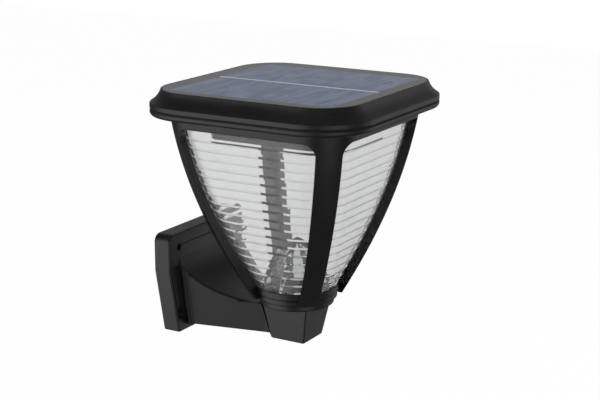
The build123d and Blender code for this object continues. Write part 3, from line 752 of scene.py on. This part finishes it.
solar_cells, tree, shader, place = new_material("blue_silicon")
flake_shape = add_node(tree, "ShaderNodeMapping", Vector=place, Scale=(0.45, 1.6, 1.0))
flakes = add_node(tree, "ShaderNodeTexVoronoi", Vector=flake_shape.outputs[0], Scale=150.0, Randomness=1.0)
cloud = noise(tree, place, scale=60.0, detail=3.0)
streaks = noise(tree, place, scale=330.0, stretch=(0.05, 1.0, 1.0))
mixed = math_node(tree, "ADD", math_node(tree, "MULTIPLY", flakes.outputs["Color"], flake_share),
                  math_node(tree, "ADD", math_node(tree, "MULTIPLY", cloud, cloud_share), streaks))
crystal = math_node(tree, "SUBTRACT", mixed, crystal_offset)
silicon = colour_between(tree, crystal, dark=(0.026, 0.052, 0.120), light=(0.088, 0.128, 0.212))
fingers = add_node(tree, "ShaderNodeTexWave", Vector=place, Scale=310.0)
fingers.bands_direction = "Y"
finger_line = math_node(tree, "POWER", fingers.outputs[1], finger_sharpness)
finger_mask = number_between(tree, finger_line, low=0.0, high=finger_strength)
tree.links.new(blend(tree, finger_mask, silicon, finger_silver, "RGBA"), shader.inputs["Base Color"])
tree.links.new(number_between(tree, crystal, low=0.3, high=0.4), shader.inputs["Roughness"])
shader.inputs["Specular IOR Level"].default_value = 0.0
dress(solar_cells, "solar_cells")

# %% Laminate and ribbon
laminate = one_noise_finish(
    "panel_laminate", colours=((0.018, 0.019, 0.02), (0.028, 0.029, 0.03)), roughness=(0.45, 0.6),
    scale=900.0, bumps={"depth": 0.00002, "strength": 0.3}, Specular_IOR_Level=0.0)
dress(laminate, "panel_board")

ribbon = one_noise_finish(
    "tinned_ribbon", colours=((0.80, 0.82, 0.85), (0.90, 0.92, 0.95)), roughness=(0.35, 0.5),
    scale=400.0, stretch=(1.0, 0.05, 1.0), Metallic=0.2)
dress(ribbon, "bus_ribbon")

# %% [markdown]
# ## Rubber and steel
# The seals and the push button are matt black rubber with a dusty surface, and the screws are plain brushed
# steel. Stretched noise would be too coarse for the brushing of a large plate, but on heads of a few
# millimetres it gives the broken shine at no cost.

# %% Rubber and steel
rubber = one_noise_finish(
    "black_rubber", colours=((0.006, 0.006, 0.006), (0.01, 0.01, 0.01)), roughness=(0.65, 0.8),
    scale=600.0, detail=3.0, bumps={"depth": 0.00003, "strength": 0.4})
dress(rubber, "cap_gasket", "lens_gasket", "power_button")

steel = one_noise_finish(
    "screw_steel", colours=((0.42, 0.42, 0.43), (0.56, 0.56, 0.57)), roughness=(0.28, 0.42),
    scale=900.0, stretch=(1.0, 1.0, 0.1), Metallic=1.0)
dress(steel, *(piece.name for piece in screw_pieces), "post_nut", "battery_contacts")

# %% [markdown]
# ## Inside the housing
# The boards, the switch and the cell's holder sit inside the housing and hardly show, but a part that
# someone may open deserves a finish on every piece. They are lacquers and plain plastics with a fine
# speckle, so one function makes them all.

# %% Inner finishes
inner_bumps = {"depth": 0.00002, "strength": 0.25}
gloss_spread = 0.12


def inner_finish(name, dark, light, scale, rough):
    """A speckled plastic or lacquer for pieces inside the housing."""
    return one_noise_finish(name, (dark, light), (rough, rough + gloss_spread), scale, bumps=inner_bumps)


white_mask = inner_finish("white_solder_mask", (0.72, 0.73, 0.72), (0.8, 0.81, 0.8), scale=500.0, rough=0.35)
green_mask = inner_finish("green_solder_mask", (0.015, 0.12, 0.04), (0.03, 0.2, 0.07), scale=250.0, rough=0.3)
packages = inner_finish("moulded_packages", (0.02, 0.02, 0.022), (0.04, 0.04, 0.044), scale=1200.0, rough=0.5)
inner_black = inner_finish("inner_black_plastic", (0.02, 0.02, 0.02), (0.03, 0.03, 0.03), scale=1500.0,
                           rough=0.5)
dress(white_mask, "led_board")
dress(green_mask, "main_board")
dress(packages, "board_parts")
dress(inner_black, "battery_holder", "power_switch", "switch_plunger")

# %% Diode finishes
pool_gap = 0.0001

diode_frame = inner_finish("white_diode_frame", (0.74, 0.74, 0.73), (0.82, 0.82, 0.81), scale=900.0,
                           rough=0.35)
phosphor = inner_finish("yellow_phosphor", (0.75, 0.6, 0.2), (0.85, 0.72, 0.32), scale=1500.0, rough=0.4)
dress(diode_frame, diode_piece.name)
diode_piece.data.materials.append(phosphor)
diode_foot = min(vertex.co.z for vertex in diode_piece.data.vertices)
pools = [face for face in diode_piece.data.polygons
         if looks_down(face) and face.center.z > diode_foot + pool_gap]
for face in pools:
    face.material_index = 1
print(phosphor.name, "is on", len(pools), "faces")

# %% [markdown]
# ## Wires and cell
# Each lead is a pair, one black and one red, and the cell has a blue sleeve that leaves its steel ends
# bare. Two materials could share a mesh by its faces. Here one material changes colour at a place along X,
# because both the pairs and the cell lie across the lantern's middle plane.

# %% Wires and cell
wire_black = ((0.012, 0.012, 0.012), (0.02, 0.02, 0.02))
wire_red = ((0.35, 0.02, 0.015), (0.45, 0.03, 0.02))
sleeve_blue = ((0.03, 0.1, 0.3), (0.05, 0.15, 0.38))
end_steel = ((0.5, 0.5, 0.49), (0.6, 0.6, 0.59))
middle_plane = 0.0
bare_end = 0.0008
sleeve_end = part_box("battery_cell")[1].x - bare_end
sleeve_speckle = 300.0


def two_colour_finish(name, inner, outer, limit, rough, both_ends=False):
    """One colour up to a limit along X and another beyond it, at one end or at both."""
    material, tree, shader, place = new_material(name)
    along = add_node(tree, "ShaderNodeSeparateXYZ", Vector=place).outputs["X"]
    if both_ends:
        along = math_node(tree, "ABSOLUTE", along)
    beyond = math_node(tree, "GREATER_THAN", along, limit)
    speckle = noise(tree, place, sleeve_speckle)
    colour = blend(tree, beyond, colour_between(tree, speckle, *inner), colour_between(tree, speckle, *outer),
                   "RGBA")
    tree.links.new(colour, shader.inputs["Base Color"])
    tree.links.new(number_between(tree, speckle, rough, rough + gloss_spread), shader.inputs["Roughness"])
    bump(tree, shader, speckle, **inner_bumps)
    return material


lead_pair = two_colour_finish("lead_pair", wire_black, wire_red, middle_plane, rough=0.35)
cell_sleeve = two_colour_finish("cell_sleeve", sleeve_blue, end_steel, sleeve_end, rough=0.3, both_ends=True)
dress(lead_pair, "panel_leads", "led_leads")
dress(cell_sleeve, "battery_cell")
